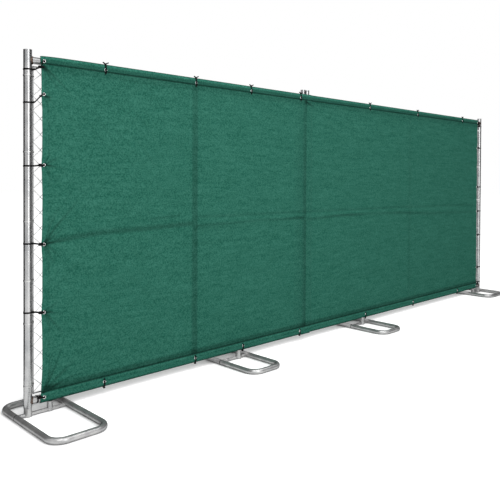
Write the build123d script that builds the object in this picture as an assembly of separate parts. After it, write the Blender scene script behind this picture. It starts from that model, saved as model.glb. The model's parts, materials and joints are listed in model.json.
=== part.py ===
from build123d import *
import math
import os

# A run of temporary chain-link fence: two tube frames with chain-link mesh, clamped end to end,
# a knitted privacy screen tied over the front, and four loop stands that the run stands on.
# X runs along the fence, -Y is the screen's side, +Z is up, and sizes are millimetres.
# The origin is on the ground in the fence's plane, midway between the two outer posts.

# Fence run
fence_length = 4900.0
left_panel_length = 2076.0
joint_post_spacing = 44.0

# Posts, rails and braces
outer_post_d = 41.3
outer_post_wall = 2.4
outer_post_top = 1829.0
inner_post_d = 34.9
inner_post_wall = 1.7
inner_post_top = 1842.0
inner_post_drop = 2.0
rail_d = 34.9
rail_wall = 1.7
top_rail_z = 1779.0
bottom_rail_z = 77.0
brace_d = 26.9
brace_wall = 1.7
weld_gap = 0.15
weld_throat = 2.8
weld_reach = 5.0

# Chain-link mesh, the rods that stretch it, and what ties the rods to the frame
net_thickness = 3.0
net_strand = 5.0
net_border = 3.0
net_gap = 0.3
left_net_columns = 12
left_net_rows = 10
right_net_columns = 14
right_net_rows = 9
rod_d = 7.0
rod_post_gap = 11.0
rod_rail_gap = 7.0
rod_end_gap = 0.4
band_fit = 0.2
band_thickness = 1.6
band_height = 6.0
band_shares = (0.03, 0.22, 0.35, 0.53, 0.74, 0.97)
rail_tie_shares = (0.12, 0.35, 0.62, 0.86)
brace_tie_width = 3.0
brace_tie_rows = (1, 3, 6, 8)

# Clamping bands at the joint of the two panels
joint_band_shares = (0.14, 0.45, 0.86)
joint_band_height = 28.0
joint_band_thickness = 2.0
joint_band_grip = 0.15
joint_band_play = 0.35
joint_ear_length = 24.0
joint_ear_space = 5.0
joint_bolt_d = 8.0
joint_bolt_play = 0.3
joint_bolt_head_d = 14.0
joint_bolt_head_h = 5.0
joint_nut_width = 13.0
joint_nut_h = 6.5
joint_nut_play = 0.15
joint_bolt_spare = 4.0

# Privacy screen
screen_thickness = 1.5
soft_gap = 0.3
left_screen_gap = 29.0
right_screen_gap = 38.0
screen_crease_share = 0.485
screen_crease_rise = 4.0
left_screen_scallop = 16.0
right_screen_scallop = 10.0
top_hem_edge = 1.0
bottom_hem_edge = 12.0
screen_joint_reach = 36.0
screen_joint_slope = 8.0

# Grommets
grommet_d = 18.0
grommet_bore = 10.0
grommet_flange = 0.8
grommet_wall = 0.6
grommet_gap = 0.15
grommet_post_gap = 56.0
hem_grommet_proud = 0.8

# Cable ties
tie_width = 4.8
tie_thickness = 1.3
tie_gap = 0.2
tie_slot_play = 0.5
tie_head = 6.0
tie_head_h = 4.5
tie_head_sink = 1.0
tie_tail = 15.0
tie_tail_angle = 40.0
post_tie_tail = 30.0
tie_weld_gap = 2.0
left_top_tie_shares = (0.206, 0.738)
left_bottom_tie_shares = (0.203,)
right_top_tie_shares = (0.280, 0.548, 0.855)
right_bottom_tie_shares = (0.528, 0.826)
top_corner_tie_drop = 27.0
bottom_corner_tie_rise = 45.0
left_edge_tie_shares = (0.097, 0.306, 0.541, 0.743)
right_edge_tie_shares = (0.153, 0.392, 0.540, 0.686, 0.885)

# Stands
loop_tube_d = 31.8
loop_tube_wall = 2.0
loop_corner_r = 68.0
loop_seam_gap = 0.3
loop_seam_front = 25.0
end_loop_width = 282.0
end_loop_long_side = 416.0
left_end_short_side = 163.0
right_end_short_side = 230.0
end_post_offset = 73.0
end_pin_spacing = 116.0
mid_loop_width = 245.0
mid_loop_long_side = 325.0
mid_loop_short_side = 160.0
mid_upright_offset = 50.0
left_mid_stand_x = 1440.0
right_mid_stand_x = 710.0
crossbar_d = 19.0
crossbar_lift = 1.0
upright_d = 38.1
upright_wall = 2.1
upright_foot = 0.5
end_upright_top = 45.0
upright_bar_gap = 0.1
seat_gap = 0.3
spigot_fit = 0.25
spigot_wall = 3.4
spigot_reach = 150.0
spare_pin_d = 28.6
spare_pin_wall = 3.0
spare_pin_top = 52.0
spare_pin_relief = 0.5
spare_pin_stop = 4.0
rail_pin_d = 20.0
rail_pin_hole_play = 0.75
rail_pin_plug = 19.0
rail_pin_rise = 26.0

# Places that follow from the sizes above
outer_r = outer_post_d / 2
inner_r = inner_post_d / 2
rail_r = rail_d / 2
brace_r = brace_d / 2
rod_r = rod_d / 2
left_outer_x = -fence_length / 2
right_outer_x = fence_length / 2
left_inner_x = left_outer_x + left_panel_length
right_inner_x = left_inner_x + joint_post_spacing
joint_x = (left_inner_x + right_inner_x) / 2
outer_post_bottom = end_upright_top + seat_gap
inner_post_bottom = bottom_rail_z - rail_r - inner_post_drop
net_y = brace_r + net_gap + rod_r
net_rod_space = rod_r + band_fit + band_thickness + net_gap
rod_top_z = top_rail_z - rail_r - rod_rail_gap - rod_r
rod_bottom_z = bottom_rail_z + rail_r + rod_rail_gap + rod_r
sheet_back = brace_r + weld_gap + weld_throat + soft_gap
hem_inner_r = rail_r + band_fit + band_thickness + soft_gap
hem_outer_r = hem_inner_r + screen_thickness
crease_z = bottom_rail_z + screen_crease_share * (top_rail_z - bottom_rail_z)
screen_left_edge = left_outer_x + outer_r + left_screen_gap
screen_right_edge = right_outer_x - outer_r - right_screen_gap
loop_z = loop_tube_d / 2
crossbar_z = crossbar_lift + crossbar_d / 2
upright_bore = upright_d - 2 * upright_wall
spigot_d = upright_bore - 2 * spigot_fit
mid_upright_top = bottom_rail_z - rail_r - seat_gap


def cylinder_between(start, end, diameter):
    """Solid round bar from start to end."""
    line = Vector(end) - Vector(start)
    return extrude(Plane(origin=start, z_dir=line) * Circle(diameter / 2), line.length)


def tube_between(start, end, diameter, wall):
    """Round tube from start to end, open at both ends."""
    line = Vector(end) - Vector(start)
    section = Circle(diameter / 2) - Circle(diameter / 2 - wall)
    return extrude(Plane(origin=start, z_dir=line) * section, line.length)


def box_between(low, high):
    """Box from its lowest corner to its highest."""
    size = Vector(high) - Vector(low)
    middle = (Vector(low) + Vector(high)) * 0.5
    return Pos(*middle) * Box(*size)


def across_x(x, y, z):
    """Plane square to the fence's length, with its own axes along Y and Z."""
    return Plane(origin=(x, y, z), x_dir=(0, 1, 0), z_dir=(1, 0, 0))


def level(x, y, z):
    """Horizontal plane with its own axes along X and Y."""
    return Plane(origin=(x, y, z), x_dir=(1, 0, 0), z_dir=(0, 0, 1))


def hull_face(circles, grow):
    """Face of the tight belt round some circles, each given by its centre and radius."""
    edges = []
    for u, v, radius in circles:
        edges += (Pos(u, v) * Circle(radius + grow)).edges()
    return make_hull(edges)


def belt(plane, circles, thickness, width):
    """Belt of the given thickness round some circles, centred on the plane."""
    ring = hull_face(circles, thickness) - hull_face(circles, 0)
    return extrude(plane * ring, width / 2, both=True)


def save(name, *solids):
    """Writes one node: a single solid, or a group of separate ones."""
    pieces = []
    for solid in solids:
        pieces += solid.solids()
    shape = pieces[0] if len(pieces) == 1 else Compound(pieces)
    export_step(shape, "parts/" + name + ".step")


def sheet_y(z):
    """Y of the screen's back face at a height, between the two rails."""
    if z < crease_z:
        share = (z - bottom_rail_z) / (crease_z - bottom_rail_z)
    else:
        share = (top_rail_z - z) / (top_rail_z - crease_z)
    return -(sheet_back + screen_crease_rise * share)


class Panel:
    """Where one panel's posts and brace stand. The way from its outer post to its inner one is inward."""

    def __init__(self, name, outer_x, inner_x, columns, rows):
        self.name = name
        self.outer_x = outer_x
        self.inner_x = inner_x
        self.length = abs(inner_x - outer_x)
        self.inward = math.copysign(1, inner_x - outer_x)
        self.brace_x = (outer_x + inner_x) / 2
        self.columns = columns
        self.rows = rows
        self.outer_rod_x = outer_x + self.inward * (outer_r + rod_post_gap + rod_r)
        self.inner_rod_x = inner_x - self.inward * (inner_r + rod_post_gap + rod_r)


left_panel = Panel("left", left_outer_x, left_inner_x, left_net_columns, left_net_rows)
right_panel = Panel("right", right_outer_x, right_inner_x, right_net_columns, right_net_rows)
panels = (left_panel, right_panel)
left_mid_x = left_outer_x + left_mid_stand_x
right_mid_x = right_inner_x + right_mid_stand_x
mid_stand_x = {"left": left_mid_x, "right": right_mid_x}


# Posts, rails, braces and their welds
def post_cylinder(x, diameter):
    """Cylinder round a post's axis, tall enough to cope any rail."""
    return cylinder_between((x, 0, 0), (x, 0, inner_post_top + outer_post_top), diameter)


def rail_cylinder(panel, z, diameter):
    """Cylinder round a rail's axis, from one post's axis to the other's."""
    return cylinder_between((panel.outer_x, 0, z), (panel.inner_x, 0, z), diameter)


def coped_rail(panel, z):
    """Rail with both ends cut to the posts that they are welded to."""
    rail = tube_between((panel.outer_x, 0, z), (panel.inner_x, 0, z), rail_d, rail_wall)
    rail -= post_cylinder(panel.outer_x, outer_post_d + 2 * weld_gap)
    rail -= post_cylinder(panel.inner_x, inner_post_d + 2 * weld_gap)
    return rail


def bottom_rail(panel):
    """Bottom rail, with the hole that its middle stand's pin goes up through."""
    x = mid_stand_x[panel.name]
    hole = cylinder_between((x, 0, 0), (x, 0, bottom_rail_z), rail_pin_d + 2 * rail_pin_hole_play)
    return coped_rail(panel, bottom_rail_z) - hole


def coped_brace(panel):
    """Upright brace between the two rails."""
    x = panel.brace_x
    brace = tube_between((x, 0, bottom_rail_z), (x, 0, top_rail_z), brace_d, brace_wall)
    for z in (bottom_rail_z, top_rail_z):
        brace -= rail_cylinder(panel, z, rail_d + 2 * weld_gap)
    return brace


def saddle_weld(start, end, branch_d, host, host_d):
    """Weld bead round a branch tube where it meets a host tube."""
    bead = tube_between(start, end, branch_d + 2 * (weld_gap + weld_throat), weld_throat)
    return (bead & host(host_d + 2 * weld_reach)) - host(host_d + 2 * weld_gap)


def frame_welds(panel):
    """The beads at the ends of both rails and of the brace."""
    beads = []
    ends = ((panel.outer_x, outer_post_d), (panel.inner_x, inner_post_d))
    for z in (bottom_rail_z, top_rail_z):
        for x, post_d in ends:
            start = (x, 0, z)
            end = (panel.brace_x, 0, z)
            beads.append(saddle_weld(start, end, rail_d, lambda d: post_cylinder(x, d), post_d))
        start = (panel.brace_x, 0, z)
        end = (panel.brace_x, 0, (bottom_rail_z + top_rail_z) / 2)
        beads.append(saddle_weld(start, end, brace_d, lambda d: rail_cylinder(panel, z, d), rail_d))
    return beads


# Mesh, rods, bands and wire ties
def trimmed(points, axis, limit, side):
    """Outline cut off at a line square to one axis. Side says which way past the line is outside."""
    kept = []
    for start, end in zip(points, points[1:] + points[:1]):
        start_over = side * (start[axis] - limit)
        end_over = side * (end[axis] - limit)
        if start_over <= 0:
            kept.append(start)
        if start_over * end_over < 0:
            share = start_over / (start_over - end_over)
            kept.append(tuple(a + share * (b - a) for a, b in zip(start, end)))
    return kept


def net_extent(panel):
    """Lowest and highest X and Z of the mesh, clear of the bands round its rods."""
    low_x = min(panel.outer_rod_x, panel.inner_rod_x) + net_rod_space
    high_x = max(panel.outer_rod_x, panel.inner_rod_x) - net_rod_space
    return low_x, high_x, rod_bottom_z + net_rod_space, rod_top_z - net_rod_space


def chain_link(panel):
    """The mesh as one holed sheet, with wider gaps than the real one."""
    low_x, high_x, low_z, high_z = net_extent(panel)
    half_x = (high_x - low_x) / panel.columns / 2
    half_z = (high_z - low_z) / panel.rows / 2
    share = 1 - net_strand / 2 * math.hypot(1 / half_x, 1 / half_z)
    front = net_y - net_thickness / 2
    gaps = []
    for i in range(2 * panel.columns + 1):
        for j in range(2 * panel.rows + 1):
            if (i + j) % 2 == 0:
                x = low_x + i * half_x
                z = low_z + j * half_z
                across = half_x * share
                up = half_z * share
                points = [(x + across, z), (x, z + up), (x - across, z), (x, z - up)]
                points = trimmed(points, 0, low_x + net_border, -1)
                points = trimmed(points, 0, high_x - net_border, 1)
                points = trimmed(points, 1, low_z + net_border, -1)
                points = trimmed(points, 1, high_z - net_border, 1)
                gaps.append(Wire.make_polygon([(u, front, v) for u, v in points]))
    corners = [(low_x, low_z), (high_x, low_z), (high_x, high_z), (low_x, high_z)]
    edge = Wire.make_polygon([(u, front, v) for u, v in corners])
    return extrude(Face(edge, gaps), net_thickness, dir=(0, 1, 0))


def tension_rods(panel):
    """The four rods that the mesh is hooked on, upright ones running past the level ones."""
    rods = []
    for x in (panel.outer_rod_x, panel.inner_rod_x):
        low = (x, net_y, rod_bottom_z - rod_r)
        high = (x, net_y, rod_top_z + rod_r)
        rods.append(cylinder_between(low, high, rod_d))
    for z in (rod_bottom_z, rod_top_z):
        start = (panel.outer_rod_x + panel.inward * (rod_r + rod_end_gap), net_y, z)
        end = (panel.inner_rod_x - panel.inward * (rod_r + rod_end_gap), net_y, z)
        rods.append(cylinder_between(start, end, rod_d))
    return rods


def tension_bands(panel):
    """Bands that hold the upright rods to the posts."""
    bands = []
    sides = ((panel.outer_x, outer_r, panel.outer_rod_x), (panel.inner_x, inner_r, panel.inner_rod_x))
    for x, radius, rod_x in sides:
        for share in band_shares:
            z = rod_bottom_z + share * (rod_top_z - rod_bottom_z)
            circles = ((0, 0, radius + band_fit), (rod_x - x, net_y, rod_r + band_fit))
            bands.append(belt(level(x, 0, z), circles, band_thickness, band_height))
    return bands


def wire_ties(panel):
    """Ties that hold the level rods to the rails, and the mesh to the brace."""
    ties = []
    for rail_z, rod_z in ((bottom_rail_z, rod_bottom_z), (top_rail_z, rod_top_z)):
        for share in rail_tie_shares:
            x = panel.outer_x + panel.inward * share * panel.length
            circles = ((0, 0, rail_r + band_fit), (net_y, rod_z - rail_z, rod_r + band_fit))
            ties.append(belt(across_x(x, 0, rail_z), circles, band_thickness, band_height))
    corner_r = net_thickness / 2 + band_fit
    low_x, high_x, low_z, high_z = net_extent(panel)
    for row in brace_tie_rows:
        z = low_z + (row + 0.5) * (high_z - low_z) / panel.rows
        corners = ((-brace_r / 2, net_y, corner_r), (brace_r / 2, net_y, corner_r))
        circles = ((0, 0, brace_r + band_fit),) + corners
        ties.append(belt(level(panel.brace_x, 0, z), circles, band_thickness, brace_tie_width))
    return ties


# Clamping bands at the joint
def joint_band_heights():
    """Heights of the clamping bands."""
    return [bottom_rail_z + share * (top_rail_z - bottom_rail_z) for share in joint_band_shares]


def joint_clamps():
    """Bands round both inner posts, with their bolts and nuts behind."""
    left_circle = (left_inner_x - joint_x, 0, inner_r + joint_band_grip)
    right_circle = (right_inner_x - joint_x, 0, inner_r + joint_band_play)
    ear_root = inner_r + joint_band_grip
    ear_end = inner_r + joint_ear_length
    ear_outer = joint_ear_space / 2 + joint_band_thickness
    bolt_y = inner_r + joint_ear_length - joint_bolt_head_d / 2
    bands = []
    bolts = []
    nuts = []
    for z in joint_band_heights():
        half = joint_band_height / 2
        circles = (left_circle, right_circle)
        band = belt(level(joint_x, 0, z), circles, joint_band_thickness, joint_band_height)
        for side in (-1, 1):
            near = joint_x + side * joint_ear_space / 2
            far = joint_x + side * ear_outer
            low_x, high_x = min(near, far), max(near, far)
            band += box_between((low_x, ear_root, z - half), (high_x, ear_end, z + half))
        slit = joint_ear_space / 2
        band -= box_between((joint_x - slit, ear_root - 1, z - half), (joint_x + slit, ear_end, z + half))
        bolt_hole_d = joint_bolt_d + 2 * joint_bolt_play
        start = (joint_x - ear_outer, bolt_y, z)
        end = (joint_x + ear_outer, bolt_y, z)
        bands.append(band - cylinder_between(start, end, bolt_hole_d))
        nut_start = (joint_x + ear_outer, bolt_y, z)
        nut_end = (joint_x + ear_outer + joint_nut_h, bolt_y, z)
        shank_end = (joint_x + ear_outer + joint_nut_h + joint_bolt_spare, bolt_y, z)
        shank = cylinder_between(start, shank_end, joint_bolt_d)
        head_start = (joint_x - ear_outer - joint_bolt_head_h, bolt_y, z)
        bolts.append(shank + cylinder_between(head_start, start, joint_bolt_head_d))
        hexagon = RegularPolygon(joint_nut_width / 2, 6, major_radius=False)
        hexagon -= Circle(joint_bolt_d / 2 + joint_nut_play)
        nut_length = (Vector(nut_end) - Vector(nut_start)).length
        nuts.append(extrude(across_x(*nut_start) * hexagon, nut_length))
    return bands, bolts, nuts


# Ties and grommets
def brace_side_x(panel):
    """A tie's place beside the brace, clear of its weld."""
    return panel.brace_x + brace_r + weld_gap + weld_throat + tie_weld_gap + tie_width / 2


def joint_side_x(panel):
    """A tie's place beside the joint, just past the screen's strip there."""
    return panel.inner_x - panel.inward * (screen_joint_reach + tie_head)


def stand_side_x(panel):
    """A tie's place beside the middle stand's upright."""
    return mid_stand_x[panel.name] + upright_d / 2 + tie_weld_gap + tie_width / 2


def rail_tie_places(panel, shares):
    """Places along a rail, as shares of the panel's length from its left post."""
    start = min(panel.outer_x, panel.inner_x)
    return [start + share * panel.length for share in shares]


top_tie_x = {
    "left": rail_tie_places(left_panel, left_top_tie_shares)
    + [brace_side_x(left_panel), joint_side_x(left_panel)],
    "right": rail_tie_places(right_panel, right_top_tie_shares),
}
edge_tie_shares = {"left": left_edge_tie_shares, "right": right_edge_tie_shares}
screen_edge = {"left": screen_left_edge, "right": screen_right_edge}
screen_scallop = {"left": left_screen_scallop, "right": right_screen_scallop}
edge_grommet_x = {
    panel.name: panel.outer_x + panel.inward * (outer_r + grommet_post_gap) for panel in panels
}
bottom_tie_x = {
    "left": [edge_grommet_x["left"]]
    + rail_tie_places(left_panel, left_bottom_tie_shares)
    + [brace_side_x(left_panel), stand_side_x(left_panel), joint_side_x(left_panel)],
    "right": [stand_side_x(right_panel)] + rail_tie_places(right_panel, right_bottom_tie_shares),
}
corner_tie_z = {
    "left": [top_rail_z - top_corner_tie_drop],
    "right": [top_rail_z - top_corner_tie_drop, bottom_rail_z + bottom_corner_tie_rise],
}
rail_tie_r = hem_outer_r + 2 * tie_gap
rail_tie_shift = hem_outer_r + hem_grommet_proud + tie_gap - math.sqrt(rail_tie_r ** 2 - grommet_d ** 2 / 4)


def edge_tie_heights(panel):
    """Heights of the ties and grommets at the screen's outer edge."""
    height = top_rail_z - bottom_rail_z
    return [top_rail_z - share * height for share in edge_tie_shares[panel.name]]


def post_tie_heights(panel):
    """Heights of the ties round the outer post: one at each eyelet, and those near its corners."""
    return edge_tie_heights(panel) + corner_tie_z[panel.name]


def rail_tie(x, rail_z, up):
    """Cable tie round a rail and the screen's hem, with its head and tail above or below."""
    circles = ((0, 0, rail_tie_r), (-rail_tie_shift, 0, rail_tie_r))
    tie = belt(across_x(x, 0, rail_z), circles, tie_thickness, tie_width)
    root = rail_z + up * (rail_tie_r + tie_thickness / 2)
    middle = -rail_tie_shift / 2
    head = Pos(x, middle, root + up * tie_head_h / 2) * Box(tie_head, tie_head, tie_head_h)
    lean = Rot(0, up * tie_tail_angle, 0)
    tail = Pos(0, 0, up * tie_tail / 2) * Box(tie_thickness, tie_width, tie_tail)
    tail = Pos(x, middle, root) * lean * tail
    return tie + head + tail


def rail_tie_slot(x, rail_z, up):
    """Slit in the screen where a rail's tie goes through it, on the side away from the tie's head."""
    circles = ((0, 0, rail_tie_r - tie_gap), (-rail_tie_shift, 0, rail_tie_r - tie_gap))
    depth = tie_thickness + tie_gap + tie_slot_play
    ring = belt(across_x(x, 0, rail_z), circles, depth, tie_width + 2 * tie_slot_play)
    reach = rail_tie_r + tie_thickness + tie_slot_play
    low_z, high_z = sorted((rail_z, rail_z - up * 2 * reach))
    return ring & box_between((x - reach, -2 * reach, low_z), (x + reach, 0, high_z))


def post_tie(panel, z):
    """Cable tie round the outer post and through the edge grommet, with its tail on the screen."""
    sheet_middle = sheet_y(z) - screen_thickness / 2
    tip_r = screen_thickness / 2 + grommet_gap + grommet_flange + 2 * tie_gap
    tip_x = edge_grommet_x[panel.name] - panel.inward * tip_r - panel.outer_x
    circles = ((0, 0, outer_r + tie_gap), (tip_x, sheet_middle, tip_r))
    tie = belt(level(panel.outer_x, 0, z), circles, tie_thickness, tie_width)
    front_y = sheet_middle - tip_r - tie_thickness / 2
    tail_x = edge_grommet_x[panel.name] + panel.inward * (post_tie_tail / 2 - tip_r)
    tail = Pos(tail_x, front_y - tie_thickness / 4, z) * Box(post_tie_tail, tie_thickness, tie_width)
    head_x = screen_edge[panel.name]
    head_y = front_y + tie_head_sink - tie_head_h / 2
    head = Pos(head_x, head_y, z) * Box(tie_head, tie_head_h, tie_head)
    return tie + tail + head


def edge_grommet(panel, z):
    """Two-flange eyelet through the screen's edge."""
    middle = (edge_grommet_x[panel.name], sheet_y(z) - screen_thickness / 2, z)
    plane = Plane(origin=middle, x_dir=(1, 0, 0), z_dir=(0, -1, 0))
    half = screen_thickness / 2 + grommet_gap
    bore = Circle(grommet_bore / 2)
    barrel = extrude(plane * (Circle(grommet_bore / 2 + grommet_wall) - bore), half, both=True)
    flange = Circle(grommet_d / 2) - bore
    front = extrude(plane.offset(half) * flange, grommet_flange)
    back = extrude(plane.offset(-half) * flange, -grommet_flange)
    return barrel + front + back


def hem_grommet(x, rail_z):
    """Eyelet on the hem, with its back bent to the rail's curve."""
    front = -(hem_outer_r + hem_grommet_proud)
    plane = Plane(origin=(x, front, rail_z), x_dir=(1, 0, 0), z_dir=(0, 1, 0))
    ring = extrude(plane * (Circle(grommet_d / 2) - Circle(grommet_bore / 2)), -front)
    reach = grommet_d
    back_d = 2 * (hem_outer_r + grommet_gap)
    return ring - cylinder_between((x - reach, 0, rail_z), (x + reach, 0, rail_z), back_d)


def hem_hole(x, rail_z):
    """The hole in the hem behind its eyelet."""
    plane = Plane(origin=(x, 0, rail_z), x_dir=(1, 0, 0), z_dir=(0, -1, 0))
    return extrude(plane * Circle(grommet_bore / 2), 2 * hem_outer_r)


def edge_hole(panel, z):
    """The hole in the screen that a post's tie goes through, with or without an eyelet."""
    plane = Plane(origin=(edge_grommet_x[panel.name], 0, z), x_dir=(1, 0, 0), z_dir=(0, -1, 0))
    return extrude(plane * Circle(grommet_bore / 2 + grommet_wall + grommet_gap), 2 * hem_outer_r)


def hem_grommet_places(panel):
    """Every eyelet on the hems: one at each rail tie and one at each outer corner."""
    corner = edge_grommet_x[panel.name]
    places = [(x, top_rail_z) for x in {*top_tie_x[panel.name], corner}]
    return places + [(x, bottom_rail_z) for x in {*bottom_tie_x[panel.name], corner}]


# Privacy screen
def hem(rail_z, up, low_x, high_x, edge):
    """Part of the screen round the front of a rail, turned in over its top or under it."""
    roll = cylinder_between((low_x, 0, rail_z), (high_x, 0, rail_z), 2 * hem_outer_r)
    low_z, high_z = sorted((rail_z, rail_z + up * 2 * hem_outer_r))
    turned_in = box_between((low_x, -2 * hem_outer_r, low_z), (high_x, -edge, high_z))
    low_z, high_z = rail_z - 2 * hem_outer_r, rail_z + 2 * hem_outer_r
    face = box_between((low_x, -2 * hem_outer_r, low_z), (high_x, -sheet_back, high_z))
    return roll & (turned_in + face)


def joint_cover_half(grow):
    """Half the width of the flat part of the screen over the two inner posts."""
    return joint_post_spacing / 2 + inner_r + weld_reach + soft_gap + grow


def joint_cover(grow, z_low, z_high):
    """Raised band of the screen over the two inner posts, solid, grown by a thickness."""
    weld_front = rail_r + weld_gap + weld_throat
    clamp_front = inner_r + joint_band_play + joint_band_thickness
    front = max(weld_front, clamp_front) + soft_gap + grow
    half = joint_cover_half(grow)
    outline = Polygon(
        (joint_x - half - screen_joint_slope, -sheet_back),
        (joint_x - half, -front),
        (joint_x + half, -front),
        (joint_x + half + screen_joint_slope, -sheet_back),
        align=None,
    )
    return extrude(level(0, 0, z_low) * outline, z_high - z_low)


def scallops(panel):
    """Shallow arcs that the screen's outer edge is drawn in by between its eyelets."""
    x = screen_edge[panel.name]
    heights = [top_rail_z] + edge_tie_heights(panel) + [bottom_rail_z]
    cuts = []
    for high, low in zip(heights, heights[1:]):
        middle = (x + panel.inward * screen_scallop[panel.name], (high + low) / 2)
        arc = ThreePointArc((x, high), middle, (x, low))
        segment = make_face([arc, Line((x, low), (x, high))])
        plane = Plane(origin=(0, 0, 0), x_dir=(1, 0, 0), z_dir=(0, -1, 0))
        cuts.append(extrude(plane * segment, 2 * hem_outer_r))
    return cuts


def whole_screen():
    """The screen in one piece, from the top rail's top to the bottom rail's underside."""
    low_x, high_x = screen_left_edge, screen_right_edge
    crease_y = -(sheet_back + screen_crease_rise)
    outline = Polygon(
        (-sheet_back, bottom_rail_z),
        (crease_y, crease_z),
        (-sheet_back, top_rail_z),
        (-sheet_back - screen_thickness, top_rail_z),
        (crease_y - screen_thickness, crease_z),
        (-sheet_back - screen_thickness, bottom_rail_z),
        align=None,
    )
    screen = extrude(across_x(low_x, 0, 0) * outline, high_x - low_x)
    screen += hem(bottom_rail_z, -1, low_x, high_x, bottom_hem_edge)
    screen += hem(top_rail_z, 1, low_x, high_x, top_hem_edge)
    screen += joint_cover(screen_thickness, bottom_rail_z - hem_outer_r, top_rail_z + hem_outer_r)
    low_z, high_z = bottom_rail_z - 2 * hem_outer_r, top_rail_z + 2 * hem_outer_r
    screen -= joint_cover(0, low_z, high_z)
    half = joint_cover_half(0)
    screen -= box_between((joint_x - half, -sheet_back, low_z), (joint_x + half, 0, high_z))
    for z in (bottom_rail_z, top_rail_z):
        screen -= cylinder_between((low_x, 0, z), (high_x, 0, z), 2 * hem_inner_r)
    cuts = []
    for panel in panels:
        cuts += scallops(panel)
        cuts += [hem_hole(x, z) for x, z in hem_grommet_places(panel)]
        cuts += [edge_hole(panel, z) for z in post_tie_heights(panel)]
        cuts += [rail_tie_slot(x, top_rail_z, 1) for x in top_tie_x[panel.name]]
        cuts += [rail_tie_slot(x, bottom_rail_z, -1) for x in bottom_tie_x[panel.name]]
    return screen - cuts


def screen_between(screen, low_x, high_x):
    """The stretch of the screen between two places along the fence."""
    reach = 4 * hem_outer_r
    low = (low_x, -reach, bottom_rail_z - reach)
    high = (high_x, reach, top_rail_z + reach)
    return screen & box_between(low, high)


# Stands
def stand_loop(x, facing, middle_offset, width, long_side, short_side):
    """Bent tube loop whose two ends meet at a seam. Facing -1 puts its long side in front."""
    middle = x + middle_offset
    long_y = facing * long_side
    short_y = -facing * short_side
    seam_x = middle + facing * width / 2
    far_x = middle - facing * width / 2
    seam_y = facing * loop_seam_front
    points = [
        (seam_x, seam_y, loop_z),
        (seam_x, long_y, loop_z),
        (far_x, long_y, loop_z),
        (far_x, short_y, loop_z),
        (seam_x, short_y, loop_z),
        (seam_x, seam_y - facing * loop_seam_gap, loop_z),
    ]
    path = FilletPolyline(*points, radius=loop_corner_r)
    section = Circle(loop_tube_d / 2) - Circle(loop_tube_d / 2 - loop_tube_wall)
    return sweep(Plane(origin=path @ 0, z_dir=path % 0) * section, path)


def stand_crossbar(x, middle_offset, width):
    """Round bar across the loop, coped to its two sides."""
    middle = x + middle_offset
    half = width / 2
    bar = cylinder_between((middle - half, 0, crossbar_z), (middle + half, 0, crossbar_z), crossbar_d)
    for side in (-1, 1):
        edge = middle + side * half
        reach = loop_corner_r
        cope_d = loop_tube_d + 2 * weld_gap
        bar -= cylinder_between((edge, -reach, loop_z), (edge, reach, loop_z), cope_d)
    return bar


def straddling_tube(x, top, diameter, wall):
    """Upright tube whose foot is notched to straddle the crossbar."""
    tube = tube_between((x, 0, upright_foot), (x, 0, top), diameter, wall)
    notch_r = crossbar_d / 2 + upright_bar_gap
    tube -= cylinder_between((x - diameter, 0, crossbar_z), (x + diameter, 0, crossbar_z), 2 * notch_r)
    return tube - box_between((x - diameter, -notch_r, -crossbar_z), (x + diameter, notch_r, crossbar_z))


def spare_pin(x):
    """Stub tube on the crossbar, turned down a little below the part that a post drops over."""
    pin = straddling_tube(x, spare_pin_top, spare_pin_d, spare_pin_wall)
    shoulder = crossbar_z + crossbar_d / 2 + spare_pin_stop
    relief = tube_between((x, 0, 0), (x, 0, shoulder), spare_pin_d, spare_pin_relief)
    return pin - relief


def spigot(x):
    """Tube that stands on the crossbar inside the upright and goes up into the post."""
    foot = crossbar_z + crossbar_d / 2 + upright_bar_gap
    return tube_between((x, 0, foot), (x, 0, end_upright_top + spigot_reach), spigot_d, spigot_wall)


def rail_pin(x):
    """Turned plug in a middle stand's upright, with a pin that goes up into the bottom rail."""
    plug = cylinder_between((x, 0, mid_upright_top - rail_pin_plug), (x, 0, mid_upright_top), spigot_d)
    pin_top = mid_upright_top + rail_pin_rise
    return plug + cylinder_between((x, 0, mid_upright_top), (x, 0, pin_top), rail_pin_d)


def save_end_stand(name, x, facing, short_side):
    """Stand under an outer post, with a spare pin beside the post for the next panel."""
    offset = -facing * end_post_offset
    pin_x = x - facing * end_pin_spacing
    sides = (end_loop_width, end_loop_long_side, short_side)
    save(name + "_loop", stand_loop(x, facing, offset, *sides))
    save(name + "_crossbar", stand_crossbar(x, offset, end_loop_width))
    save(name + "_upright", straddling_tube(x, end_upright_top, upright_d, upright_wall))
    save(name + "_spigot", spigot(x))
    save(name + "_spare_pin", spare_pin(pin_x))


def save_mid_stand(name, x, facing):
    """Stand under the middle of a panel's bottom rail, a little off its loop's middle."""
    offset = facing * mid_upright_offset
    sides = (mid_loop_width, mid_loop_long_side, mid_loop_short_side)
    save(name + "_loop", stand_loop(x, facing, offset, *sides))
    save(name + "_crossbar", stand_crossbar(x, offset, mid_loop_width))
    save(name + "_upright", straddling_tube(x, mid_upright_top, upright_d, upright_wall))
    save(name + "_rail_pin", rail_pin(x))


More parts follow.
